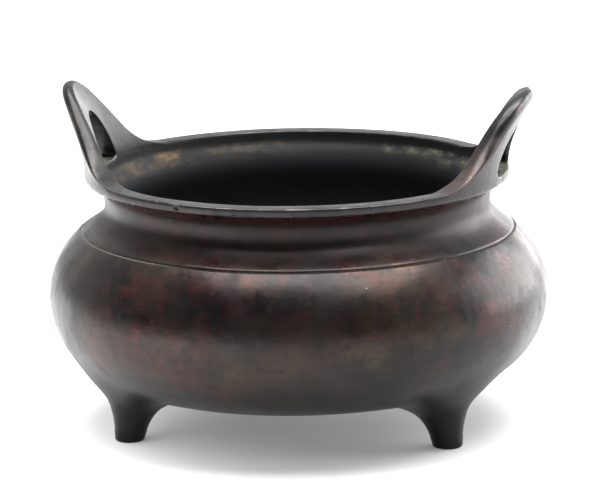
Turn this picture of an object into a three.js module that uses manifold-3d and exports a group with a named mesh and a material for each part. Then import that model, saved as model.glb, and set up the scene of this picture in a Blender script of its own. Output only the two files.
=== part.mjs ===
// Bronze ding vessel: a tripod censer cast in one piece. A round belly with an incised shoulder
// line, a coved neck, a flat lip, two upright loop handles that rise from the lip and lean out,
// and three short conical feet. Millimetres, +Z up, feet on z = 0, handles on the X axis.

import * as THREE from 'three';
import { mergeVertices } from 'three/addons/utils/BufferGeometryUtils.js';
import Module from 'manifold-3d';

const wasm = await Module();
wasm.setup();

// The belly is a ring of round section: the outer and inner walls share one section centre.
const sidesRound = 64;
const bellyRadius = 90;
const bellySection = 30.8;
const bellyHeight = 48.2;
const wall = 4;
const undersideCentre = 14.6;
const undersideTurn = THREE.MathUtils.degToRad(5.7);
const shoulderTurn = THREE.MathUtils.degToRad(51);

// The incised line at the shoulder.
const grooveWidth = 1.1;
const grooveDepth = 0.6;

// Neck and lip.
const waistRadius = 69.4;
const waistHeight = 81.8;
const lipTop = 94.1;
const lipBand = 3.5;
const lipRadius = 76.5;
const lipUndercut = 0.7;
const lipMouth = 69.5;
const lipEdge = 0.5;
const neckMouth = 65.5;

// Loop handles: flat bars that go on from the lip, lean out and arch over a hole. As cast, the
// two differ a little: one is lower, thicker and leans further, and stands slightly off the line
// through the other.
const handles = [
  { turn: -2, rise: 30, lean: 11.9, thicker: 1.6 },
  { turn: 180, rise: 30.5, lean: 10.4, thicker: 0.4 },
];
const handleRise = 30.5;
const leanPower = 1.7;
const handleFoot = 6.6;
const handleTop = 5.4;
const thickerBy = 9;
const handleRoot = 1.6;
const handleInset = 0.3;
const outerFlare = 0.08;
const spreadAtLip = 52;
const [haunchAlong, haunchRise] = [27.5, 9.6];
const [crownAlong, crownDrop] = [16, 6.9];
const archSill = 17;
const crownBar = 11.3;
const archDraft = 0.07;
const crispEdge = 0.5;
const softEdge = 2.8;
const softCrown = 4;
const handleSteps = 15;

// Feet.
const footCircle = 66;
const footAngles = [-30, 90, 210];
const footSides = 20;
const footRadius = 5.4;
const footEdge = 0.6;
const ankleRadius = 9.8;
const ankleHeight = 12.4;
const flareRadius = 22;
const footDraw = 3.3;
const footDrawLength = 4;
const footRoot = 1.6;

const sectionCentre = bellyRadius - bellySection;
const arcDown = -Math.PI / 2 + undersideTurn;

const onSection = (radius, angle) => new THREE.Vector2(
  sectionCentre + radius * Math.cos(angle),
  bellyHeight + radius * Math.sin(angle),
);

// Height of the belly's outer surface below its widest line, at a distance from the axis.
function undersideAt(distance) {
  const turn = onSection(bellySection, arcDown);
  if (distance < turn.x) {
    return undersideCentre + (turn.y - undersideCentre) * (distance / turn.x) ** 2;
  }
  const across = distance - sectionCentre;
  return bellyHeight - Math.sqrt(bellySection ** 2 - across ** 2);
}

// A closed geometry becomes a solid: shared vertices merged, collapsed triangles dropped.
function toSolid(geometry) {
  const bare = geometry.clone();
  bare.deleteAttribute('normal');
  bare.deleteAttribute('uv');
  const merged = mergeVertices(bare, 1e-4);
  const index = merged.index.array;
  const kept = [];
  for (let i = 0; i < index.length; i += 3) {
    const [a, b, c] = [index[i], index[i + 1], index[i + 2]];
    if (a !== b && b !== c && c !== a) {
      kept.push(a, b, c);
    }
  }
  return new wasm.Manifold(new wasm.Mesh({
    numProp: 3,
    vertProperties: new Float32Array(merged.attributes.position.array),
    triVerts: new Uint32Array(kept),
  }));
}

function toGeometry(solid) {
  const mesh = solid.getMesh();
  const geometry = new THREE.BufferGeometry();
  geometry.setAttribute('position', new THREE.BufferAttribute(mesh.vertProperties, 3));
  geometry.setIndex(new THREE.BufferAttribute(mesh.triVerts, 1));
  geometry.computeVertexNormals();
  return geometry;
}

// A closed profile in (radius, height) is spun about +Z.
function spin(points, sides) {
  const geometry = new THREE.LatheGeometry(points, sides);
  geometry.rotateX(Math.PI / 2);
  return geometry;
}

// Points along a path, each curve split as finely as its own list entry says.
function trace(path, steps) {
  const points = [];
  path.curves.forEach((curve, i) => {
    const run = curve.getPoints(steps[i]);
    points.push(...(i === 0 ? run : run.slice(1)));
  });
  return points;
}

// Bowl, neck and lip: up the outside from the axis, over the lip, and down the inside to the axis.
function bodyGeometry() {
  const innerSection = bellySection - wall;
  const outerTurn = onSection(bellySection, arcDown);
  const shoulder = onSection(bellySection, shoulderTurn);
  const innerTurn = onSection(innerSection, arcDown);
  const innerShoulder = onSection(innerSection, shoulderTurn);
  const bandFoot = lipTop - lipBand;

  const path = new THREE.Path();
  const steps = [];
  const splitBy = (count) => steps.push(count);

  path.moveTo(0, undersideCentre);
  path.quadraticCurveTo(outerTurn.x / 2, undersideCentre, outerTurn.x, outerTurn.y);
  splitBy(3);
  path.absarc(sectionCentre, bellyHeight, bellySection, arcDown, shoulderTurn);
  splitBy(15);
  path.lineTo(shoulder.x - grooveDepth, shoulder.y - 0.1);
  splitBy(1);
  path.lineTo(shoulder.x - grooveWidth, shoulder.y + grooveWidth / 2);
  splitBy(1);
  path.bezierCurveTo(
    shoulder.x - 5.6, shoulder.y + 3.6,
    waistRadius, waistHeight - 4,
    waistRadius, waistHeight,
  );
  splitBy(4);
  path.bezierCurveTo(
    waistRadius, waistHeight + 5,
    waistRadius + 2.8, bandFoot - 1.6,
    lipRadius - lipUndercut, bandFoot,
  );
  splitBy(4);
  path.lineTo(lipRadius, lipTop - lipEdge);
  splitBy(1);
  path.lineTo(lipRadius - lipEdge, lipTop);
  splitBy(1);
  path.lineTo(lipMouth + lipEdge, lipTop);
  splitBy(1);
  path.lineTo(lipMouth, lipTop - lipEdge);
  splitBy(1);
  path.lineTo(lipMouth - 0.2, lipTop - lipBand);
  splitBy(1);
  path.quadraticCurveTo(neckMouth, waistHeight + 3, neckMouth, waistHeight - 1);
  splitBy(3);
  path.bezierCurveTo(
    neckMouth, waistHeight - 5.5,
    innerShoulder.x - 5, innerShoulder.y + 4,
    innerShoulder.x, innerShoulder.y,
  );
  splitBy(4);
  path.absarc(sectionCentre, bellyHeight, innerSection, shoulderTurn, arcDown, true);
  splitBy(11);
  path.quadraticCurveTo(innerTurn.x / 2, undersideCentre + wall, 0, undersideCentre + wall);
  splitBy(3);
  return spin(trace(path, steps), sidesRound);
}

// Distance from the bowl's axis to a handle's outer face, and the thickness there, at a height
// above the lip. What makes a handle thicker comes in gradually above the root, so that its
// inner face never stands over the mouth.
function leanAt({ lean }, rise) {
  const share = Math.max(rise, 0) / handleRise;
  return lipRadius - handleInset + lean * share ** leanPower;
}

function thicknessAt({ thicker }, rise) {
  const height = Math.max(rise, 0);
  const plain = THREE.MathUtils.lerp(handleFoot, handleTop, height / handleRise);
  return plain + thicker * (1 - Math.exp(-((height / thickerBy) ** 2)));
}

// Half of a handle's edges, as (distance round the lip, height above the lip), from the root
// inside the lip up to the crown: the bell outline and the arched hole that stands on the lip.
function halfOutline(rise) {
  const path = new THREE.Path();
  path.moveTo(spreadAtLip, -handleRoot);
  path.bezierCurveTo(
    spreadAtLip - 10, 0.6,
    haunchAlong + 6, haunchRise - 5.6,
    haunchAlong, haunchRise,
  );
  path.bezierCurveTo(
    haunchAlong - 4.7, haunchRise + 4.4,
    crownAlong + 4.4, rise - crownDrop - 4.5,
    crownAlong, rise - crownDrop,
  );
  path.bezierCurveTo(crownAlong - 3.6, rise - crownDrop / 2, crownAlong / 2, rise, 0, rise);
  return path;
}

function halfArch(rise) {
  const crown = rise - crownBar;
  const path = new THREE.Path();
  path.moveTo(archSill, -handleRoot);
  path.lineTo(archSill, 0);
  path.bezierCurveTo(archSill - 1.2, crown / 3, archSill * 0.62, crown, 0, crown);
  return path;
}

function bothHalves(path) {
  const half = path.getSpacedPoints(handleSteps);
  const mirrored = half.slice(0, -1).reverse().map((point) => new THREE.Vector2(-point.x, point.y));
  return [...half, ...mirrored];
}

// The bar's section between arch and outline, as shares (across, depth): the rim of the inner
// face is crisp, and the rim of the outer face is broadly rounded, most of all at the crown.
function barSection(width, thick, crownShare) {
  const [crispAcross, crispDeep] = [crispEdge / width, crispEdge / thick];
  const soft = THREE.MathUtils.lerp(softEdge, softCrown, crownShare);
  const [softAcross, softDeep] = [soft / width, soft / thick];
  return [
    [crispAcross, 0],
    [1 - crispAcross, 0],
    [1, crispDeep],
    [1, 1 - softDeep],
    [1 - 0.3 * softAcross, 1 - 0.3 * softDeep],
    [1 - softAcross, 1],
    [crispAcross, 1],
    [0, 1 - crispDeep],
    [0, crispDeep],
  ];
}

// One handle: the section carried over the arch from root to root, wrapped round the lip.
function handleGeometry(handle) {
  const { turn, rise } = handle;
  const outline = bothHalves(halfOutline(rise));
  const arch = bothHalves(halfArch(rise));
  const turned = THREE.MathUtils.degToRad(turn);
  const positions = [];
  const index = [];
  let count = 0;
  outline.forEach((edge, i) => {
    const width = edge.distanceTo(arch[i]);
    const crownShare = THREE.MathUtils.smoothstep(edge.y / rise, 0.6, 1);
    const section = barSection(width, thicknessAt(handle, edge.y), crownShare);
    count = section.length;
    section.forEach(([across, depth]) => {
      const along = THREE.MathUtils.lerp(arch[i].x, edge.x * (1 + outerFlare * depth), across);
      const sill = arch[i].y * (1 - archDraft * depth);
      const height = THREE.MathUtils.lerp(sill, edge.y, across);
      const radius = leanAt(handle, height) - thicknessAt(handle, height) * (1 - depth);
      const angle = turned + along / lipRadius;
      positions.push(radius * Math.cos(angle), radius * Math.sin(angle), lipTop + height);
    });
  });
  const last = outline.length - 1;
  for (let i = 0; i < last; i += 1) {
    for (let j = 0; j < count; j += 1) {
      const here = i * count + j;
      const beside = i * count + ((j + 1) % count);
      index.push(here, here + count, beside, beside, here + count, beside + count);
    }
  }
  for (let j = 1; j < count - 1; j += 1) {
    index.push(0, j, j + 1);
    index.push(last * count, last * count + j + 1, last * count + j);
  }
  const geometry = new THREE.BufferGeometry();
  geometry.setAttribute('position', new THREE.Float32BufferAttribute(positions, 3));
  geometry.setIndex(index);
  return geometry;
}

// One foot: a round cone spun upright, its flare drawn towards the axis of the bowl, and its
// height stretched so that the flare meets the underside all the way round.
function footGeometry(angle) {
  const nominal = undersideAt(footCircle);
  const cone = new THREE.Path();
  cone.moveTo(0, 0);
  cone.lineTo(footRadius - footEdge, 0);
  cone.lineTo(footRadius, footEdge);
  cone.bezierCurveTo(
    footRadius + 0.6, ankleHeight / 3,
    ankleRadius - 3.1, ankleHeight - 3.6,
    ankleRadius, ankleHeight,
  );
  cone.bezierCurveTo(
    ankleRadius + 2.5, ankleHeight + 2.6,
    flareRadius - 5.5, nominal - 1.6,
    flareRadius, nominal,
  );
  cone.lineTo(0, nominal);
  const geometry = spin(trace(cone, [1, 1, 4, 4, 1]), footSides);
  const position = geometry.attributes.position;
  for (let i = 0; i < position.count; i += 1) {
    const [x, y, z] = [position.getX(i), position.getY(i), position.getZ(i)];
    const radius = Math.hypot(x, y);
    const flare = Math.max(radius - footRadius, 0);
    const draw = footDraw * (1 - Math.exp(-flare / footDrawLength));
    const along = footCircle + x - draw;
    const ceiling = undersideAt(Math.hypot(along, y));
    const share = z / nominal;
    const buried = footRoot * share ** 4;
    position.setXYZ(i, along, y, z * (ceiling / nominal) + buried);
  }
  geometry.rotateZ(THREE.MathUtils.degToRad(angle));
  return geometry;
}

function vesselGeometry() {
  let solid = toSolid(bodyGeometry());
  for (const handle of handles) {
    solid = solid.add(toSolid(handleGeometry(handle)));
  }
  for (const angle of footAngles) {
    solid = solid.add(toSolid(footGeometry(angle)));
  }
  return toGeometry(solid);
}

const bronze = new THREE.MeshStandardMaterial({
  color: 0x3a2f2c,
  roughness: 0.42,
  metalness: 0.75,
});

const vessel = new THREE.Mesh(vesselGeometry(), bronze);
vessel.name = 'vessel';

const ding = new THREE.Group();
ding.add(vessel);

export default ding;
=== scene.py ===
import math

import bmesh
import bpy
from mathutils import Matrix, Vector


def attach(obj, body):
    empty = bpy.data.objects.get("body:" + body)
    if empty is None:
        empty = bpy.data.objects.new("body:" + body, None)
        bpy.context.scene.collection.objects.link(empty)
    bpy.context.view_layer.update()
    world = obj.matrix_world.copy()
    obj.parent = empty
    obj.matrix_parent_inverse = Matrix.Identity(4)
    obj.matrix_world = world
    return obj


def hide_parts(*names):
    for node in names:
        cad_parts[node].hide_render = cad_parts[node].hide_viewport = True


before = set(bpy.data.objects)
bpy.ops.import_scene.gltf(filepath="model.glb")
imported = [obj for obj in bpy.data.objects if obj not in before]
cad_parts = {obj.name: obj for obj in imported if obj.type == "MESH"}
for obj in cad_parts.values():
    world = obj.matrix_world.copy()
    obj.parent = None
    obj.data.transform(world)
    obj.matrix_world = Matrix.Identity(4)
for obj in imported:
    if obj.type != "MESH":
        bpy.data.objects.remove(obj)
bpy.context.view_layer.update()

mm = 0.001

camera = {
    # lens in mm, lengths in m, angles in degrees
    "lens": 270,
    "clipEnd": 30,
    "distance": 1.622,
    "azimuth": 8.0,
    "elevation": 12.2,
    "roll": -0.86,
    "lookAt": (0.0007, 0.0001, 0.0634),
}


def fromAround(azimuth, elevation):
    # unit vector from the vessel towards something at this azimuth (0 is in front, -Y)
    a = math.radians(azimuth)
    e = math.radians(elevation)
    return Vector((math.sin(a) * math.cos(e), -math.cos(a) * math.cos(e), math.sin(e)))


def makeCamera():
    lookAt = Vector(camera["lookAt"])
    back = fromAround(camera["azimuth"], camera["elevation"])
    bpy.ops.object.camera_add(location=lookAt + back * camera["distance"])
    eye = bpy.context.object
    turn = (-back).to_track_quat("-Z", "Y").to_matrix()
    turn = turn @ Matrix.Rotation(math.radians(camera["roll"]), 3, "Z")
    eye.rotation_euler = turn.to_euler()
    eye.data.lens = camera["lens"]
    eye.data.clip_end = camera["clipEnd"]
    bpy.context.scene.camera = eye


def addNode(tree, kind, settings=None, links=None):
    # one node, with its settings and what feeds its inputs
    node = tree.nodes.new(kind)
    for name, value in (settings or {}).items():
        if isinstance(name, str) and hasattr(node, name):
            setattr(node, name, value)
        else:
            node.inputs[name].default_value = value
    for name, source in (links or {}).items():
        tree.links.new(source, node.inputs[name])
    return node


def hexColour(code, alpha=1.0):
    # sRGB hex to the linear colour that a socket takes
    channels = [int(code[i:i + 2], 16) / 255 for i in (1, 3, 5)]
    linear = [c / 12.92 if c <= 0.04045 else ((c + 0.055) / 1.055) ** 2.4 for c in channels]
    return (*linear, alpha)


studio = {
    "floorSize": 30,
    "floorSides": 64,
    "floorTone": "#d6d6d7",
    "glowTone": "#fdfdff",
    "floorGlow": 0.14,
    "floorRoughness": 0.9,
    "floorShine": 0.1,
    "worldBack": 0.82,
    "worldFront": 0.11,
    "frontAzimuth": -17,
    "frontSpan": (-0.3, 0.6),
    # softboxes: azimuth and elevation in degrees, distance, width and height in m, and how bright
    "boxes": {
        "overheadBox": (45, 80, 0.76, 0.9, 0.55, 9.0),
        "rightBox": (122, 17, 0.95, 0.8, 0.6, 6.0),
        "backBox": (176, 71, 1.3, 1.2, 0.7, 3.0),
        "backStrip": (165, 4, 1.4, 0.7, 0.5, 4.0),
    },
    # these light the table and stay out of the bronze's reflections
    "tableBoxes": {
        "tableBackLeft": (-136, 8, 0.95, 0.8, 0.4, 3.0),
        "tableLeft": (-50, 20, 0.29, 0.24, 0.2, 4.5),
        "tableBack": (175, 33, 0.95, 1.2, 0.5, 2.0),
        "tableFarLeft": (-108, 28, 0.5, 0.3, 0.3, 5.0),
        "tableFront": (8, 40, 0.7, 0.5, 0.2, 1.8),
    },
    # these hang level and shine straight down, and the rest are turned towards the vessel
    "level": ("overheadBox", "backBox", "tableLeft", "tableFarLeft", "tableBack"),
    "aim": (0, 0, 0.04),
}


def makeTable():
    radius = studio["floorSize"] / 2
    bpy.ops.mesh.primitive_circle_add(vertices=studio["floorSides"], radius=radius, fill_type="NGON")
    floor = bpy.context.object
    floor.name = "floor"
    # cast acrylic sheet, sanded matt and lit from below: even white with soft shadows and no gloss
    paper = bpy.data.materials.new("white acrylic light table, matt")
    paper.use_nodes = True
    sheet = paper.node_tree
    shader = sheet.nodes["Principled BSDF"]
    shader.inputs["Base Color"].default_value = hexColour(studio["floorTone"])
    shader.inputs["Roughness"].default_value = studio["floorRoughness"]
    shader.inputs["Specular IOR Level"].default_value = studio["floorShine"]
    shader.inputs["Emission Color"].default_value = hexColour(studio["glowTone"])
    shader.inputs["Emission Strength"].default_value = studio["floorGlow"]
    # seen from below the table is clear, so that the underside can be looked at
    side = addNode(sheet, "ShaderNodeNewGeometry")
    clear = addNode(sheet, "ShaderNodeBsdfTransparent")
    links = {0: side.outputs["Backfacing"], 1: shader.outputs["BSDF"], 2: clear.outputs["BSDF"]}
    oneSided = addNode(sheet, "ShaderNodeMixShader", links=links)
    sheet.links.new(oneSided.outputs["Shader"], sheet.nodes["Material Output"].inputs["Surface"])
    floor.data.materials.append(paper)


def hangBoxes():
    aim = Vector(studio["aim"])
    boxes = studio["boxes"] | studio["tableBoxes"]
    for name, (azimuth, elevation, distance, width, height, bright) in boxes.items():
        spot = fromAround(azimuth, elevation) * distance
        bpy.ops.object.light_add(type="AREA", location=spot)
        box = bpy.context.object
        box.name = name
        box.data.shape = "RECTANGLE"
        box.data.size = width
        box.data.size_y = height
        box.data.energy = bright * math.pi * width * height
        box.visible_camera = False
        box.visible_glossy = name in studio["boxes"]
        if name not in studio["level"]:
            box.rotation_euler = (aim - spot).to_track_quat("-Z", "Y").to_euler()


def makeRoom():
    # pale behind the vessel and dark in front of it, which is what the bronze's front reflects
    world = bpy.data.worlds.new("pale studio room")
    bpy.context.scene.world = world
    world.use_nodes = True
    tree = world.node_tree
    tree.nodes.clear()
    place = addNode(tree, "ShaderNodeTexCoord")
    front = fromAround(studio["frontAzimuth"], 0)
    settings = {"operation": "DOT_PRODUCT", 1: front}
    facing = addNode(tree, "ShaderNodeVectorMath", settings, {0: place.outputs["Generated"]})
    ramp = addNode(tree, "ShaderNodeValToRGB", links={"Fac": facing.outputs["Value"]})
    grey = (studio["worldBack"], studio["worldFront"])
    for stop, position, level in zip(ramp.color_ramp.elements, studio["frontSpan"], grey):
        stop.position = position
        stop.color = (level, level, level, 1)
    glow = addNode(tree, "ShaderNodeBackground", {"Strength": 1.0}, {"Color": ramp.outputs["Color"]})
    addNode(tree, "ShaderNodeOutputWorld", links={"Surface": glow.outputs["Background"]})
    bpy.context.scene.view_settings.view_transform = "Standard"


makeCamera()
makeTable()
hangBoxes()
makeRoom()
print("camera, lights and floor are in place")


# the vessel's sizes are in mm and degrees, and become metres as they reach the mesh
bowl = {
    "sides": 120,
    "bellyRadius": 90.0,
    "section": 30.8,
    "bellyHeight": 48.2,
    "wall": 4.0,
    "undersideCentre": 14.6,
    "undersideTurn": 5.7,
    "shoulderTurn": 51.0,
    "waistRadius": 69.4,
    "waistHeight": 81.8,
    "lipTop": 94.1,
    "lipRadius": 76.5,
    "lipMouth": 69.5,
    "neckMouth": 65.5,
    # rings round the pole; beyond firstRow the rings are evenly spaced
    "poleRings": (3.0, 7.0),
    "firstRow": 12.0,
    # a row this close under the incised line, in radians of the section, keeps its edge crisp
    "lineHold": 0.022,
    # rows of the profile as steps out and up: the incised line from the shoulder, the band's foot
    # and the lip from the lip's top corner, and the mouth from its own top
    "line": ((0, 0), (-0.41, -0.19), (-0.6, -0.1), (-0.72, 0.07), (-0.7, 0.5), (-1.7, 1.15)),
    # the row of the incised line that takes the painted groove shade
    "linePainted": 2,
    "band": ((-0.8, -3.55), (-0.45, -3.2), (-0.1, -2.4)),
    "lip": (
        (0, -0.95), (-0.15, -0.35), (-0.75, -0.03), (-1.9, 0),
        (-3.9, 0), (-6.0, 0), (-6.65, -0.15), (-7.0, -0.65),
    ),
    "mouth": ((-0.08, -2.2), (-0.3, -4.4)),
    # how the neck's curves are pulled: steps out and up from the ends that they are named for
    "pull": {
        "shoulder": (-5.8, 3.7),
        "underWaist": (0, -4),
        "overWaist": (0, 5),
        "underBand": (2.7, -1.5),
        "mouth": (1.9, -6.2),
        "throat": (0, 3.2),
        "throatEnd": (0, -1),
        "underThroat": (0, -5.5),
        "innerShoulder": (-5, 4),
    },
    "bandMeets": (-0.5, -0.25),
    # rows in the neck's four curves, down the inside of the belly and across its floor
    "neckRows": (6, 6, 5, 5),
    "innerRows": 17,
    "innerFloorRows": 11,
    # above this the pole is the inner one
    "innerPoleAbove": 17.0,
    # depth and spacing of the casting's unevenness, and the height it starts at
    "castUneven": 0.35,
    "castScale": 45.0,
    "evenBelow": 4.0,
}

handle = {
    # right and left: turn off the X axis, height over the lip, lean at the top, extra thickness,
    # how square the arch's shoulders are, and the crown's half width and drop
    "pair": (
        {
            "turn": -2.0, "rise": 30.0, "lean": 11.9, "thicker": 1.6,
            "archSquare": 0.62, "crown": (17.0, 5.9),
        },
        {
            "turn": 180.0, "rise": 30.5, "lean": 10.4, "thicker": 0.4,
            "archSquare": 0.45, "crown": (15.0, 7.8),
        },
    ),
    "rise": 30.5,
    "leanPower": 1.7,
    "thickAtLip": 7.0,
    "thickAtTop": 5.4,
    "thickerBy": 9.0,
    "spread": 51.7,
    "haunch": (27.5, 9.6),
    "archSill": 16.4,
    "crownBar": 11.3,
    "archDraft": 0.07,
    "outerFlare": 0.08,
    "flareFrom": 8.0,
    "crispEdge": 0.5,
    "softRoot": 1.0,
    "softEdge": 4.0,
    "softCrown": 4.4,
    "edgeBulge": 0.5,
    # sections of a leg, and the steps round the lip where its root begins and ends
    "steps": 15,
    "columns": (4, 13),
    # points along each curve while it is divided evenly, and the gap closed at the crown
    "finePoints": 40,
    "mergeWithin": 0.02,
    # softening grows over the legs' first mm, and again above this share of the rise
    "softOver": 9.0,
    "softAbove": 0.6,
}

foot = {
    "circle": 66.0,
    "angles": (-30.0, 90.0, 210.0),
    "radius": 5.4,
    "edge": 0.7,
    "ankle": (9.8, 12.4),
    "flare": 22.0,
    "draw": 3.3,
    "drawLength": 4.0,
    # steps from the middle of the foot to the edge of the faces that are pulled down
    "patch": 3,
    # rings of faces round the foot: radius, and how far each is drawn into the foot's round
    "rings": ((3.3, 1), (6.6, 1), (9.8, 1), (12.9, 1), (16.2, 0.88), (19.6, 0.62), (23.2, 0.3)),
    # sections of the ankle as shares of its curve, and of the sole as steps out and up
    "levels": (0.8, 0.62, 0.46, 0.31, 0.17, 0.06),
    "sole": ((0, 0.7), (-0.25, 0.2), (-0.7, 0.0)),
}

sectionCentre = bowl["bellyRadius"] - bowl["section"]
arcDown = math.radians(-90 + bowl["undersideTurn"])
stepAngle = 2 * math.pi / bowl["sides"]


def lerp(a, b, share):
    return a + (b - a) * share


def bezier(a, b, c, d, share):
    rest = 1 - share
    weights = (rest ** 3, 3 * rest ** 2 * share, 3 * rest * share ** 2, share ** 3)
    return tuple(sum(w * p[i] for w, p in zip(weights, (a, b, c, d))) for i in (0, 1))


def alongBezier(points, count):
    return [bezier(*points, i / count) for i in range(1, count + 1)]


def onSection(radius, angle):
    return (sectionCentre + radius * math.cos(angle), bowl["bellyHeight"] + radius * math.sin(angle))


def undersideAt(distance):
    turn = onSection(bowl["section"], arcDown)
    if distance < turn[0]:
        return lerp(bowl["undersideCentre"], turn[1], (distance / turn[0]) ** 2)
    across = distance - sectionCentre
    return bowl["bellyHeight"] - math.sqrt(max(bowl["section"] ** 2 - across ** 2, 0))


def stepped(start, steps):
    return [(start[0] + across, start[1] + up) for across, up in steps]


def outsideRows(shoulder):
    # from the pole to just under the incised line, with square faces where the feet are drawn
    section = bowl["section"]
    cell = foot["circle"] * stepAngle / section
    rings = list(bowl["poleRings"])
    distance = foot["circle"] - cell * section * 2
    under = []
    while distance > bowl["firstRow"]:
        under.insert(0, distance)
        distance -= cell * section
    rows = [(radius, undersideAt(radius)) for radius in rings + under]
    angle = math.asin((foot["circle"] - sectionCentre) / section) - math.pi / 2 - cell
    # the last steps are shorter, up to the line
    while angle < shoulder - cell * 0.9:
        rows.append(onSection(section, angle))
        angle += cell
    rows.append(onSection(section, shoulder - cell * 0.5))
    rows.append(onSection(section, shoulder - bowl["lineHold"]))
    return rows


def bowlProfile():
    # up the outside from the pole, over the lip and down the inside, as (radius, height) rows
    shoulder = math.radians(bowl["shoulderTurn"])
    inner = bowl["section"] - bowl["wall"]
    pull = {name: [step] for name, step in bowl["pull"].items()}
    coves = bowl["neckRows"]
    rows = outsideRows(shoulder)
    painted = len(rows) + bowl["linePainted"]
    start = onSection(bowl["section"], shoulder)
    rows += stepped(start, bowl["line"])
    # the neck's outer cove, up to the waist and out to the lip
    waist = (bowl["waistRadius"], bowl["waistHeight"])
    corner = (bowl["lipRadius"], bowl["lipTop"])
    band = stepped(corner, bowl["band"])
    pulls = stepped(start, pull["shoulder"]) + stepped(waist, pull["underWaist"])
    rows += alongBezier((rows[-1], *pulls, waist), coves[0])
    meets = stepped(band[0], [bowl["bandMeets"]])
    flare = stepped((waist[0], band[0][1]), pull["underBand"])
    rows += alongBezier((waist, *stepped(waist, pull["overWaist"]), *flare, *meets), coves[1])
    rows += band
    first = len(rows)
    rows += stepped(corner, bowl["lip"])
    last = len(rows) - 1
    # the mouth and the neck's inner side
    rows += stepped((bowl["lipMouth"], bowl["lipTop"]), bowl["mouth"])
    throat = (bowl["neckMouth"], bowl["waistHeight"])
    below = stepped((bowl["neckMouth"], bowl["lipTop"]), pull["mouth"])
    end = onSection(inner, shoulder)
    turn = stepped(throat, pull["throatEnd"])
    rows += alongBezier((rows[-1], *below, *stepped(throat, pull["throat"]), *turn), coves[2])
    pulls = stepped(throat, pull["underThroat"]) + stepped(end, pull["innerShoulder"])
    rows += alongBezier((*turn, *pulls, end), coves[3])
    # the inside of the belly and its floor
    for i in range(1, bowl["innerRows"] + 1):
        rows.append(onSection(inner, lerp(shoulder, arcDown, i / bowl["innerRows"])))
    edge = onSection(inner, arcDown)[0]
    for i in range(1, bowl["innerFloorRows"] + 1):
        distance = lerp(edge, bowl["poleRings"][0], i / bowl["innerFloorRows"])
        rows.append((distance, undersideAt(distance) + bowl["wall"]))
    return rows, painted, first, last


def editMesh(piece):
    return bmesh.from_edit_mesh(piece.data)


def updateMesh(piece):
    bmesh.update_edit_mesh(piece.data, loop_triangles=False, destructive=False)


def markPlaces(vessel, rows):
    # each vertex remembers its row of the profile and its step round the axis
    bm = editMesh(vessel)
    row = bm.verts.layers.int.new("row")
    step = bm.verts.layers.int.new("step")
    for vert in bm.verts:
        here = (math.hypot(vert.co.x, vert.co.y) / mm, vert.co.z / mm)
        gaps = [math.hypot(here[0] - r[0], here[1] - r[1]) for r in rows]
        atPole = here[0] < bowl["poleRings"][0] / 2
        vert[row] = -1 if atPole else gaps.index(min(gaps))
        vert[step] = round(math.atan2(vert.co.y, vert.co.x) / stepAngle) % bowl["sides"]
    updateMesh(vessel)


def placeLayers(bm):
    return bm.verts.layers.int["row"], bm.verts.layers.int["step"]


def modelBowl(rows):
    # a disc drawn out ring by ring, like a pot on a wheel
    bpy.ops.object.select_all(action="DESELECT")
    radius, height = rows[0]
    bpy.ops.mesh.primitive_circle_add(
        vertices=bowl["sides"], radius=radius * mm, fill_type="TRIFAN", location=(0, 0, height * mm)
    )
    vessel = bpy.context.object
    vessel.name = "vesselCast"
    bpy.ops.object.transform_apply(location=True, rotation=True, scale=True)
    bpy.ops.object.mode_set(mode="EDIT")
    bpy.ops.mesh.select_mode(type="EDGE")
    bpy.ops.mesh.select_all(action="DESELECT")
    bm = editMesh(vessel)
    for edge in bm.edges:
        edge.select = edge.is_boundary
    bm.select_flush_mode()
    updateMesh(vessel)
    for lower, upper in zip(rows, rows[1:]):
        rise = (upper[1] - lower[1]) * mm
        grow = upper[0] / lower[0]
        bpy.ops.mesh.extrude_region_move(TRANSFORM_OT_translate={"value": (0, 0, rise)})
        bpy.ops.transform.resize(value=(grow, grow, 1), center_override=(0, 0, 0))
    bpy.ops.mesh.edge_face_add()
    bpy.ops.mesh.poke()
    bpy.ops.mesh.select_all(action="SELECT")
    bpy.ops.mesh.normals_make_consistent(inside=False)
    markPlaces(vessel, rows)
    return vessel


bowlRows, paintedRow, lipFirst, lipLast = bowlProfile()
vessel = modelBowl(bowlRows)
print("bowl drawn out:", len(vessel.data.vertices), "vertices")


def leanAt(lean, height):
    share = max(height, 0) / handle["rise"]
    return bowl["lipRadius"] + lean * share ** handle["leanPower"]


def thickAt(thicker, height):
    plain = lerp(handle["thickAtLip"], handle["thickAtTop"], max(height, 0) / handle["rise"])
    return plain + thicker * (1 - math.exp(-((max(height, 0) / handle["thickerBy"]) ** 2)))


def softAt(height, rise):
    # the outer rim's rounding grows from the root to the legs, and again towards the crown
    legs = lerp(handle["softRoot"], handle["softEdge"], min(height / handle["softOver"], 1))
    start = handle["softAbove"]
    share = min(max((height / rise - start) / (1 - start), 0), 1)
    return lerp(legs, handle["softCrown"], share * share * (3 - 2 * share))


def evenly(curves, count):
    # points at even distances along joined bezier curves
    fine = [curves[0][0]]
    for curve in curves:
        fine += alongBezier(curve, handle["finePoints"])
    run = [0.0]
    for a, b in zip(fine, fine[1:]):
        run.append(run[-1] + math.dist(a, b))
    points = []
    k = 0
    for i in range(count + 1):
        goal = run[-1] * i / count
        while k < len(run) - 2 and run[k + 1] < goal:
            k += 1
        share = (goal - run[k]) / (run[k + 1] - run[k])
        points.append((lerp(fine[k][0], fine[k + 1][0], share), lerp(fine[k][1], fine[k + 1][1], share)))
    return points


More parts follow.
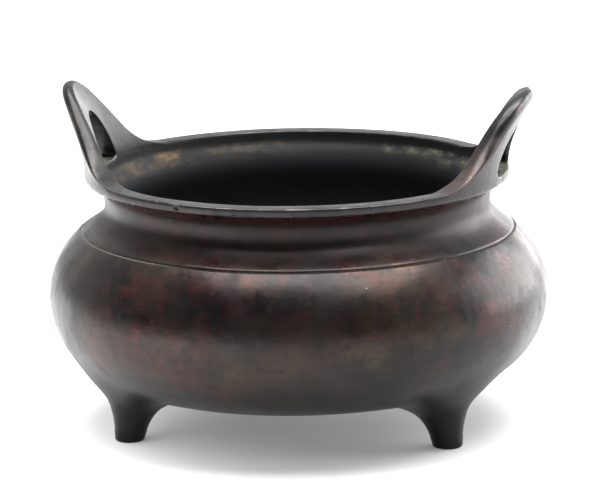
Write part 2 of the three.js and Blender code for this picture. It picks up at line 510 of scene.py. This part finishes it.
def handleEdges(ear):
    # outer outline and arched hole of half a handle, as (distance round the lip, height above it)
    spread = handle["spread"]
    haunch = handle["haunch"]
    rise = ear["rise"]
    square = ear["archSquare"]
    crown = (ear["crown"][0], rise - ear["crown"][1])
    outline = [
        ((spread, 0.0), (spread - 10, 0.4), (haunch[0] + 6, haunch[1] - 5.6), haunch),
        (haunch, (haunch[0] - 4.7, haunch[1] + 4.4), (crown[0] + 4.4, crown[1] - 4.5), crown),
        (crown, (crown[0] - 3.6, lerp(crown[1], rise, 0.5)), (crown[0] * 0.55, rise), (0.0, rise)),
    ]
    sill = handle["archSill"]
    arch = rise - handle["crownBar"]
    hole = [((sill, 0.0), (sill * (0.2 + square * 1.22), arch / 3), (sill * square, arch), (0.0, arch))]
    return evenly(outline, handle["steps"]), evenly(hole, handle["steps"])


def barPoint(column, row, width, thick, soft):
    # place in the bar's section: across from the hole, and deep from the inner face
    crisp = handle["crispEdge"]
    bulge = handle["edgeBulge"] * min(soft / handle["softEdge"], 1)
    atOutline = [
        (soft, thick), (soft * 0.5, thick - soft * 0.13),
        (soft * 0.13, thick - soft * 0.5), (0, thick - soft),
        (bulge * 0.2, lerp(crisp, thick - soft, 0.5)), (bulge, crisp),
        (bulge + crisp * 0.3, crisp * 0.3), (bulge + crisp, 0),
    ]
    atHole = [
        (crisp, thick), (crisp * 0.3, thick - crisp * 0.3), (0, thick - crisp), (0, thick * 0.72),
        (0, thick * 0.38), (0, crisp), (crisp * 0.3, crisp * 0.3), (crisp, 0),
    ]
    near, far = atHole[row], atOutline[row]
    return lerp(near[0], width - far[0], column), lerp(near[1], far[1], column)


def lipColumn(step, turn, side):
    # steps round the lip from the middle of the handle, on one side of it
    middle = round(turn / 180) * bowl["sides"] // 2
    return (side * (step - middle)) % bowl["sides"]


def raiseLeg(vessel, ear, side):
    # the lip's own faces are pulled up section by section, from the root to the crown
    outline, arch = handleEdges(ear)
    turn = ear["turn"]
    first, last = handle["columns"]
    bpy.ops.mesh.select_mode(type="FACE")
    bpy.ops.mesh.select_all(action="DESELECT")
    bm = editMesh(vessel)
    rowLayer, stepLayer = placeLayers(bm)
    for face in bm.faces:
        face.select = all(
            lipFirst <= v[rowLayer] <= lipLast and first <= lipColumn(v[stepLayer], turn, side) <= last
            for v in face.verts
        )
    updateMesh(vessel)
    for edge, hole in zip(outline[1:], arch[1:]):
        bpy.ops.mesh.extrude_region_move(TRANSFORM_OT_translate={"value": (0, 0, 0)})
        bm = editMesh(vessel)
        rowLayer, stepLayer = placeLayers(bm)
        soft = softAt(edge[1], ear["rise"])
        width = math.dist(edge, hole)
        thick = thickAt(ear["thicker"], edge[1])
        flare = handle["outerFlare"] * min(edge[1] / handle["flareFrom"], 1)
        for vert in bm.verts:
            if not vert.select:
                continue
            column = (lipColumn(vert[stepLayer], turn, side) - first) / (last - first)
            across, deep = barPoint(column, vert[rowLayer] - lipFirst, width, thick, soft)
            share = across / width
            along = lerp(hole[0], edge[0] * (1 + flare * deep / thick), share)
            sill = hole[1] * (1 - handle["archDraft"] * deep / thick)
            height = lerp(sill, edge[1], share)
            here = thickAt(ear["thicker"], height)
            radius = leanAt(ear["lean"], height) - here + deep * here / thick
            angle = math.radians(turn) + side * along / bowl["lipRadius"]
            spot = (radius * math.cos(angle), radius * math.sin(angle), bowl["lipTop"] + height)
            vert.co = Vector(spot) * mm
        updateMesh(vessel)
    bpy.ops.mesh.delete(type="FACE")


def modelHandles(vessel):
    # each handle is two legs that meet at the crown, where their open ends are merged
    for ear in handle["pair"]:
        for side in (1, -1):
            raiseLeg(vessel, ear, side)
    bpy.ops.mesh.select_mode(type="VERT")
    bpy.ops.mesh.select_all(action="DESELECT")
    bm = editMesh(vessel)
    for vert in bm.verts:
        vert.select = vert.is_boundary
    bm.select_flush_mode()
    updateMesh(vessel)
    bpy.ops.mesh.remove_doubles(threshold=handle["mergeWithin"] * mm)


modelHandles(vessel)
print("handles raised from the lip")


def ankleCurve():
    ankle = foot["ankle"]
    return (
        (foot["radius"], foot["edge"]), (foot["radius"] + 0.6, ankle[1] / 3),
        (ankle[0] - 3.1, ankle[1] - 3.6), ankle,
    )


def flareHeight(radius):
    # height of the flare between the ankle and the underside, for a foot under a level ceiling
    nominal = undersideAt(foot["circle"])
    ankle = foot["ankle"]
    curve = (
        ankle, (ankle[0] + 2.5, ankle[1] + 2.6),
        (foot["flare"] - 5.5, nominal - 1.6), (foot["flare"], nominal),
    )
    low, high = 0.0, 1.0
    for _ in range(30):
        middle = (low + high) / 2
        if bezier(*curve, middle)[0] < radius:
            low = middle
        else:
            high = middle
    return bezier(*curve, low)[1]


def footPlace(radius, direction, height):
    # direction is round the foot's own axis, 0 pointing out from the bowl's axis
    draw = foot["draw"] * (1 - math.exp(-max(radius - foot["radius"], 0) / foot["drawLength"]))
    out = foot["circle"] + radius * math.cos(direction) - draw
    side = radius * math.sin(direction)
    ceiling = undersideAt(math.hypot(out, side)) / undersideAt(foot["circle"])
    return out, side, height * ceiling


def footCentre(angle):
    # row and step of the bowl's mesh at the middle of this foot
    circle = foot["circle"]
    gaps = [abs(r[0] - circle) + abs(r[1] - undersideAt(circle)) for r in bowlRows]
    return gaps.index(min(gaps)), round(math.radians(angle) / stepAngle) % bowl["sides"]


def footCell(vert, layers, centre):
    # rows and steps from the middle of the foot
    half = bowl["sides"] // 2
    across = (vert[layers[1]] - centre[1] + half) % bowl["sides"] - half
    return vert[layers[0]] - centre[0], across


def drawFlare(vessel, centre, turn):
    # the underside is drawn down towards the ankle, ring by ring
    circle = foot["circle"]
    bm = editMesh(vessel)
    layers = placeLayers(bm)
    for vert in bm.verts:
        a, b = footCell(vert, layers, centre)
        ring = max(abs(a), abs(b))
        if ring == 0 or ring > len(foot["rings"]) or vert[layers[0]] < 0:
            continue
        radius, hold = foot["rings"][ring - 1]
        local = turn.transposed() @ vert.co / mm
        drawn = footPlace(radius, math.atan2(b, a), 0)
        out = lerp(local.x, drawn[0], hold)
        side = lerp(local.y, drawn[1], hold)
        reach = math.hypot(out - circle + foot["draw"], side)
        height = undersideAt(math.hypot(out, side))
        if reach < foot["flare"]:
            height *= flareHeight(max(reach, foot["ankle"][0])) / undersideAt(circle)
        vert.co = turn @ Vector((out, side, height)) * mm
    updateMesh(vessel)


def drawAnkle(vessel, centre, turn):
    # then the ankle's faces are pulled down to the sole
    patch = foot["patch"]
    bpy.ops.mesh.select_mode(type="FACE")
    bpy.ops.mesh.select_all(action="DESELECT")
    bm = editMesh(vessel)
    layers = placeLayers(bm)
    for face in bm.faces:
        cells = [footCell(v, layers, centre) for v in face.verts]
        face.select = all(max(abs(a), abs(b)) <= patch for a, b in cells)
    updateMesh(vessel)
    curve = ankleCurve()
    stages = [bezier(*curve, share) for share in foot["levels"]]
    stages += stepped((foot["radius"], 0), foot["sole"])
    for radius, height in stages:
        bpy.ops.mesh.extrude_region_move(TRANSFORM_OT_translate={"value": (0, 0, 0)})
        bm = editMesh(vessel)
        layers = placeLayers(bm)
        middle = footPlace(radius, math.pi / 2, height)[0]
        for vert in bm.verts:
            if not vert.select:
                continue
            a, b = footCell(vert, layers, centre)
            ring = max(abs(a), abs(b)) / patch
            out, side, level = footPlace(radius, math.atan2(b, a), height)
            vert.co = turn @ Vector((lerp(middle, out, ring), side * ring, level)) * mm
        updateMesh(vessel)


def modelFeet(vessel):
    for angle in foot["angles"]:
        centre = footCentre(angle)
        turn = Matrix.Rotation(math.radians(angle), 3, "Z")
        drawFlare(vessel, centre, turn)
        drawAnkle(vessel, centre, turn)


modelFeet(vessel)
print("feet drawn down:", len(vessel.data.vertices), "vertices")


zones = {
    # lip rows, counted from its outer edge
    "rubbedRows": (1, 2, 6),
    "dustyRows": (2, 3, 4, 5, 6),
    # steps each side of a handle's middle that lie under its loop
    "sillSteps": 4,
    # the inner finish fades in from this far before the mouth's edge, over this many rows
    "insideFrom": 0.5,
    "insideOver": 1.5,
}


def markZones(vessel):
    # where each vertex lies, for the patina and for the incised line's painted shade and highlight: a share
    # from 0 to 1 in each zone
    bm = editMesh(vessel)
    names = ("inside", "incised", "rubbed", "dusty", "coppered")
    layers = {name: bm.verts.layers.float.new(name) for name in names}
    rowLayer, stepLayer = placeLayers(bm)
    half = bowl["sides"] // 2
    nearRightEdge = bowl["sides"] - handle["columns"][1]
    for vert in bm.verts:
        row = vert[rowLayer]
        onLip = lipFirst <= row <= lipLast
        around = vert[stepLayer] % half
        underLoop = min(around, half - around) < zones["sillSteps"]
        share = min(max((row - lipLast + zones["insideFrom"]) / zones["insideOver"], 0), 1)
        if row < 0:
            share = vert.co.z > bowl["innerPoleAbove"] * mm
        vert[layers["inside"]] = float(share)
        vert[layers["incised"]] = float(row == paintedRow)
        vert[layers["rubbed"]] = float(row - lipFirst in zones["rubbedRows"])
        vert[layers["dusty"]] = float(underLoop and row - lipFirst in zones["dustyRows"])
        vert[layers["coppered"]] = float(onLip and row < lipLast and vert[stepLayer] == nearRightEdge)
    updateMesh(vessel)


def finishShape(vessel):
    bpy.ops.mesh.select_all(action="SELECT")
    bpy.ops.mesh.normals_make_consistent(inside=False)
    bpy.ops.mesh.select_all(action="DESELECT")
    bpy.ops.object.mode_set(mode="OBJECT")
    smooth = vessel.modifiers.new("smooth", "SUBSURF")
    smooth.levels = 1
    smooth.render_levels = 1
    bpy.ops.object.modifier_apply(modifier="smooth")
    # a hand-finished casting is never quite even; the feet's ends stay flat
    touched = vessel.vertex_groups.new(name="uneven")
    above = [v.index for v in vessel.data.vertices if v.co.z > bowl["evenBelow"] * mm]
    touched.add(above, 1.0, "REPLACE")
    clouds = bpy.data.textures.new("casting unevenness", "CLOUDS")
    clouds.noise_scale = bowl["castScale"] * mm
    clouds.noise_depth = 1
    uneven = vessel.modifiers.new("uneven", "DISPLACE")
    uneven.texture = clouds
    uneven.texture_coords = "LOCAL"
    uneven.mid_level = 1.0
    uneven.strength = bowl["castUneven"] * mm
    uneven.vertex_group = "uneven"
    bpy.ops.object.modifier_apply(modifier="uneven")
    for name in ("row", "step"):
        vessel.data.attributes.remove(vessel.data.attributes[name])


markZones(vessel)
finishShape(vessel)
print("vessel smoothed:", len(vessel.data.polygons), "faces")


nicks = {
    # degrees round from the X axis, height, reach and depth; divideAround is added to the reach
    "places": ((-115.3, 92.5, 1.1, 0.5), (-98.5, 91.0, 0.9, 0.6), (-63.0, 93.6, 0.8, 0.35)),
    "bandRadius": 76.4,
    "divideAround": 1.6,
    "cuts": 4,
}


def strikeNicks(vessel):
    # small old knocks on the lip's band: the faces there are divided and pushed in
    bpy.ops.object.mode_set(mode="EDIT")
    bpy.ops.mesh.select_mode(type="FACE")
    editMesh(vessel).verts.layers.float.new("nicked")
    updateMesh(vessel)
    for around, height, reach, depth in nicks["places"]:
        angle = math.radians(around)
        outward = Vector((math.cos(angle), math.sin(angle), 0))
        spot = (outward * nicks["bandRadius"] + Vector((0, 0, height))) * mm
        bpy.ops.mesh.select_all(action="DESELECT")
        bm = editMesh(vessel)
        for face in bm.faces:
            away = (face.calc_center_median() - spot).length
            face.select = away < (reach + nicks["divideAround"]) * mm
        updateMesh(vessel)
        bpy.ops.mesh.subdivide(number_cuts=nicks["cuts"])
        bm = editMesh(vessel)
        nicked = bm.verts.layers.float["nicked"]
        for vert in bm.verts:
            away = (vert.co - spot).length / (reach * mm)
            if away < 1:
                vert.co -= outward * depth * mm * (1 - away * away)
                vert[nicked] = 1 - away
        updateMesh(vessel)
    bpy.ops.mesh.select_all(action="DESELECT")
    bpy.ops.object.mode_set(mode="OBJECT")
    bpy.ops.object.shade_smooth()


strikeNicks(vessel)
print("nicks struck in the lip:", len(nicks["places"]))


patina = {
    "brown": "#2f241e",
    "darkBrown": "#1e1816",
    "metallic": 0.72,
    "coat": 0.06,
    "coatRoughness": 0.3,
    # limits by a vertex zone or a coordinate in m: where a tone starts and where it is full
    "bands": {
        "inside": ("inside", 0.0, 1.0),
        # the incised line's row, for its painted shade and highlight
        "incised": ("incised", 0.0, 1.0),
        "dusty": ("dusty", 0.0, 1.0),
        "rubbed": ("rubbed", 0.0, 1.0),
        "nicked": ("nicked", 0.0, 1.0),
        "lip": ("Z", 0.0898, 0.0908),
        "belowLip": ("Z", 0.0915, 0.0903),
        "underLip": ("Z", 0.0865, 0.0885),
        "underBand": ("Z", 0.0915, 0.0905),
        # the top of the inside, just under the mouth's edge, for its painted shade
        "mouth": ("Z", 0.0885, 0.091),
        "deep": ("Z", 0.082, 0.06),
        # the underside and the feet, for their painted shade
        "under": ("Z", 0.044, 0.018),
        # the neck's hollow, for its painted shade
        "coveShadeAbove": ("Z", 0.0735, 0.0775),
        "coveShadeBelow": ("Z", 0.0895, 0.086),
        "ashAbove": ("Z", 0.083, 0.0885),
        "thinAshAbove": ("Z", 0.0865, 0.0885),
        "ashBelow": ("Z", 0.091, 0.0895),
        "back": ("Y", -0.01, 0.02),
        "backLeft": ("X", 0.002, -0.026),
        "farBackLeft": ("X", -0.028, -0.045),
        "backRight": ("X", 0.022, 0.026),
        "farBackRight": ("X", 0.036, 0.05),
        # the left side, where the incised line gets its painted highlight
        "leftGrooveHighlight": ("X", -0.02, -0.055),
        # the right side and the lower belly, for the painted shade there
        "right": ("X", -0.01, 0.03),
        "lowBellyShade": ("Z", 0.048, 0.03),
        "coppered": ("coppered", 0.0, 1.0),
        "rootHeight": ("Z", 0.109, 0.102),
    },
    # cloudy limits: size in mm, detail, grit, shift, stretch upwards, where it starts and is full
    "clouds": {
        "brown": (30, 4, 0.6, 0.0, 1, 0.38, 0.64),
        "grey": (17, 5, 0.62, 3.1, 1, 0.46, 0.7),
        "redRegion": (34, 2, 0.5, 7.7, 1, 0.39, 0.57),
        "blueBlack": (42, 3, 0.55, 15.2, 1, 0.47, 0.66),
        "oliveBrown": (24, 3, 0.55, 18.6, 1, 0.5, 0.7),
        "red": (9, 6, 0.7, 6.9, 0.9, 0.43, 0.7),
        "fleck": (4.5, 5, 0.65, 1.3, 1, 0.52, 0.74),
        "stain": (8.5, 3, 0.55, 12.4, 0.8, 0.6, 0.72),
        "bloom": (20, 4, 0.6, 2.4, 1, 0.4, 0.7),
        "crumbs": (9, 6, 0.68, 9.1, 1.8, 0.38, 0.7),
        "patches": (16, 2, 0.5, 4.7, 1, 0.42, 0.6),
        "sillCrumbs": (3, 4, 0.65, 6.6, 1, 0.34, 0.62),
        "worn": (9, 4, 0.6, 4.4, 1, 0.45, 0.65),
        "wornPatch": (4, 3, 0.6, 2.9, 1, 0.35, 0.6),
        "blotch": (4.5, 4, 0.65, 10.3, 0.8, 0.52, 0.68),
        "turned": (14, 4, 0.65, 21.3, 8, 0.45, 0.7),
        "smudge": (14, 4, 0.6, 6.3, 0.45, 0.35, 0.68),
    },
    # dots: spacing in mm, shift, and the dot's edge and core as a share of the spacing
    "dots": {
        "speck": (15, 0.0, 0.024, 0.014),
        "pit": (7, 0.37, 0.09, 0.03),
    },
    "roughness": (0.23, 0.38),
    # how much of each pattern's shift goes along Y
    "sideShift": 0.7,
    # each tone over the ones before it: hex, strength, metallic, roughness, and its limits
    "layers": (
        ("#2c2c28", 0.5, None, None, ("grey",)),
        ("#2e2d2d", 0.85, None, None, ("lip",)),
        ("#1d2125", 0.45, None, None, ("blueBlack",)),
        ("#3a2f21", 0.5, None, None, ("oliveBrown", "belowLip")),
        ("#4a1c19", 0.62, 0.55, None, ("redRegion", "red", "belowLip")),
        ("#5c2420", 0.18, 0.45, None, ("redRegion", "fleck", "belowLip")),
        ("#55211b", 0.35, None, None, ("underLip", "underBand")),
        ("#1b1817", 0.5, None, 0.5, ("blotch",)),
        ("#141110", 0.4, None, None, ("turned",)),
        ("#131416", 0.6, None, None, ("stain",)),
        ("#aeaba0", 0.8, 0.0, 0.85, ("speck",)),
        # painted shade: a dark line on one row of the incised line, standing in for the shadow inside the
        # groove
        ("#15110f", 1.0, None, 0.7, ("incised",)),
        # painted highlight: a pale grey-green line along the incised line on the left side, where its upper
        # edge catches the light
        ("#85877b", 0.9, None, None, ("incised", "leftGrooveHighlight")),
        # painted shade: the neck's hollow waist, from over the shoulder to under the band, darker and
        # rougher
        ("#171413", 0.55, None, 0.52, ("coveShadeAbove", "coveShadeBelow")),
        # painted shade: the lower belly darker, more so towards the right side
        ("#0e1113", 0.55, None, None, ("right", "lowBellyShade")),
        # painted shade: darker and rougher towards the bottom, over the underside and the feet
        ("#0f0f0f", 0.85, None, 0.46, ("under",)),
        ("#131518", 1.0, 0.5, 0.72, ("inside",)),
        ("#3d4040", 1.0, 0.2, None, ("inside", "deep")),
        # painted shade: nearly black just inside the mouth, under the lip's inner edge
        ("#0a0b0c", 0.9, None, None, ("inside", "mouth")),
        ("#69665a", 0.25, None, None, ("inside", "bloom", "deep")),
        ("#675538", 0.34, 0.0, 0.85, ("inside", "ashAbove", "ashBelow", "back", "backLeft", "crumbs")),
        ("#8a6c3f", 0.28, 0.0, 0.85,
         ("inside", "ashAbove", "ashBelow", "back", "farBackLeft", "crumbs", "patches")),
        ("#7b7a64", 0.35, 0.0, 0.85, ("inside", "thinAshAbove", "ashBelow", "back", "backRight", "crumbs")),
        ("#6e6e59", 0.5, 0.0, 0.85, ("inside", "ashAbove", "ashBelow", "back", "farBackRight", "crumbs")),
        ("#454133", 0.9, 0.0, 0.85, ("dusty", "sillCrumbs")),
        ("#8a7f78", 0.22, None, None, ("rubbed", "worn")),
        ("#5f4037", 0.26, None, 0.5, ("coppered", "rootHeight", "wornPatch")),
        ("#0f0e0e", 0.8, None, 0.7, ("nicked",)),
    ),
    # fine relief: size in mm, detail, grit, shift, strength and depth in mm. A wax casting's skin
    # has a grain of about 0.2 mm, too fine to show, so it is drawn at 1.3 mm
    "relief": {
        "grain": (1.3, 3, 0.6, 0.0, 0.5, 0.06),
        "dents": (8, 3, 0.55, 8.8, 0.5, 0.3),
    },
    "pitRelief": (0.4, 0.12),
}


def patinaLimits(tree, place):
    # every limit of the patina's tones, by name, from 0 to 1
    split = addNode(tree, "ShaderNodeSeparateXYZ", links={"Vector": place})
    soft = {"interpolation_type": "SMOOTHSTEP"}
    limits = {}
    for name, (source, start, full) in patina["bands"].items():
        value = split.outputs.get(source)
        if value is None:
            value = addNode(tree, "ShaderNodeAttribute", {"attribute_name": source}).outputs["Fac"]
        falling = float(start > full)
        settings = soft | {
            "From Min": min(start, full), "From Max": max(start, full),
            "To Min": falling, "To Max": 1 - falling,
        }
        limits[name] = addNode(tree, "ShaderNodeMapRange", settings, {"Value": value}).outputs[0]
    for name, (size, detail, grit, shift, stretch, start, full) in patina["clouds"].items():
        settings = {"Location": (shift, shift * patina["sideShift"], 0), "Scale": (1, 1, stretch)}
        moved = addNode(tree, "ShaderNodeMapping", settings, {"Vector": place}).outputs[0]
        settings = {"Scale": 1 / (size * mm), "Detail": detail, "Roughness": grit}
        noise = addNode(tree, "ShaderNodeTexNoise", settings, {"Vector": moved}).outputs[0]
        settings = soft | {"From Min": start, "From Max": full}
        limits[name] = addNode(tree, "ShaderNodeMapRange", settings, {"Value": noise}).outputs[0]
    for name, (spacing, shift, edge, core) in patina["dots"].items():
        settings = {"Location": (shift, 0, shift)}
        moved = addNode(tree, "ShaderNodeMapping", settings, {"Vector": place}).outputs[0]
        cells = addNode(tree, "ShaderNodeTexVoronoi", {"Scale": 1 / (spacing * mm)}, {"Vector": moved})
        settings = soft | {"From Min": core, "From Max": edge, "To Min": 1.0, "To Max": 0.0}
        links = {"Value": cells.outputs["Distance"]}
        limits[name] = addNode(tree, "ShaderNodeMapRange", settings, links).outputs[0]
    return limits


def layTones(tree, limits):
    # the tones one over the other; returns what feeds colour, metallic and roughness
    settings = {"data_type": "RGBA", 6: hexColour(patina["darkBrown"]), 7: hexColour(patina["brown"])}
    colour = addNode(tree, "ShaderNodeMix", settings, {0: limits["brown"]}).outputs[2]
    low, high = patina["roughness"]
    settings = {"To Min": low, "To Max": high}
    rough = addNode(tree, "ShaderNodeMapRange", settings, {"Value": limits["smudge"]}).outputs[0]
    metal = None
    for tone, strength, metallic, roughness, names in patina["layers"]:
        share = limits[names[0]]
        for name in names[1:]:
            links = {0: share, 1: limits[name]}
            share = addNode(tree, "ShaderNodeMath", {"operation": "MULTIPLY"}, links).outputs[0]
        settings = {"operation": "MULTIPLY", 1: strength}
        share = addNode(tree, "ShaderNodeMath", settings, {0: share}).outputs[0]
        settings = {"data_type": "RGBA", 7: hexColour(tone)}
        colour = addNode(tree, "ShaderNodeMix", settings, {0: share, 6: colour}).outputs[2]
        if metallic is not None:
            mix = addNode(tree, "ShaderNodeMix", {2: patina["metallic"], 3: metallic}, {0: share})
            if metal:
                tree.links.new(metal, mix.inputs[2])
            metal = mix.outputs[0]
        if roughness is not None:
            rough = addNode(tree, "ShaderNodeMix", {3: roughness}, {0: share, 2: rough}).outputs[0]
    return colour, metal, rough


def castRelief(tree, place, pits):
    # small pits sunk in, then the grain and the soft dents over them
    strength, depth = patina["pitRelief"]
    settings = {"Strength": strength, "Distance": depth * mm, "invert": True}
    normal = addNode(tree, "ShaderNodeBump", settings, {"Height": pits}).outputs[0]
    for size, detail, grit, shift, strength, depth in patina["relief"].values():
        settings = {"Location": (shift, shift * patina["sideShift"], 0)}
        moved = addNode(tree, "ShaderNodeMapping", settings, {"Vector": place}).outputs[0]
        settings = {"Scale": 1 / (size * mm), "Detail": detail, "Roughness": grit}
        noise = addNode(tree, "ShaderNodeTexNoise", settings, {"Vector": moved}).outputs[0]
        settings = {"Strength": strength, "Distance": depth * mm}
        normal = addNode(tree, "ShaderNodeBump", settings, {"Height": noise, "Normal": normal}).outputs[0]
    return normal


def makeBronze():
    # cast bronze under a dark wax-rubbed patina: satin, with soft broad highlights and pale
    # grazing edges; cuprite red, grey-green and dust show through in patches
    bronze = bpy.data.materials.new("cast bronze, waxed brown patina")
    bronze.use_nodes = True
    tree = bronze.node_tree
    shader = tree.nodes["Principled BSDF"]
    place = addNode(tree, "ShaderNodeTexCoord").outputs["Object"]
    limits = patinaLimits(tree, place)
    colour, metal, rough = layTones(tree, limits)
    tree.links.new(colour, shader.inputs["Base Color"])
    tree.links.new(metal, shader.inputs["Metallic"])
    tree.links.new(rough, shader.inputs["Roughness"])
    tree.links.new(castRelief(tree, place, limits["pit"]), shader.inputs["Normal"])
    shader.inputs["Coat Weight"].default_value = patina["coat"]
    shader.inputs["Coat Roughness"].default_value = patina["coatRoughness"]
    return bronze


vessel.data.materials.append(makeBronze())
print("patina laid on:", len(patina["layers"]), "tones")

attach(vessel, "root")
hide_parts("vessel")
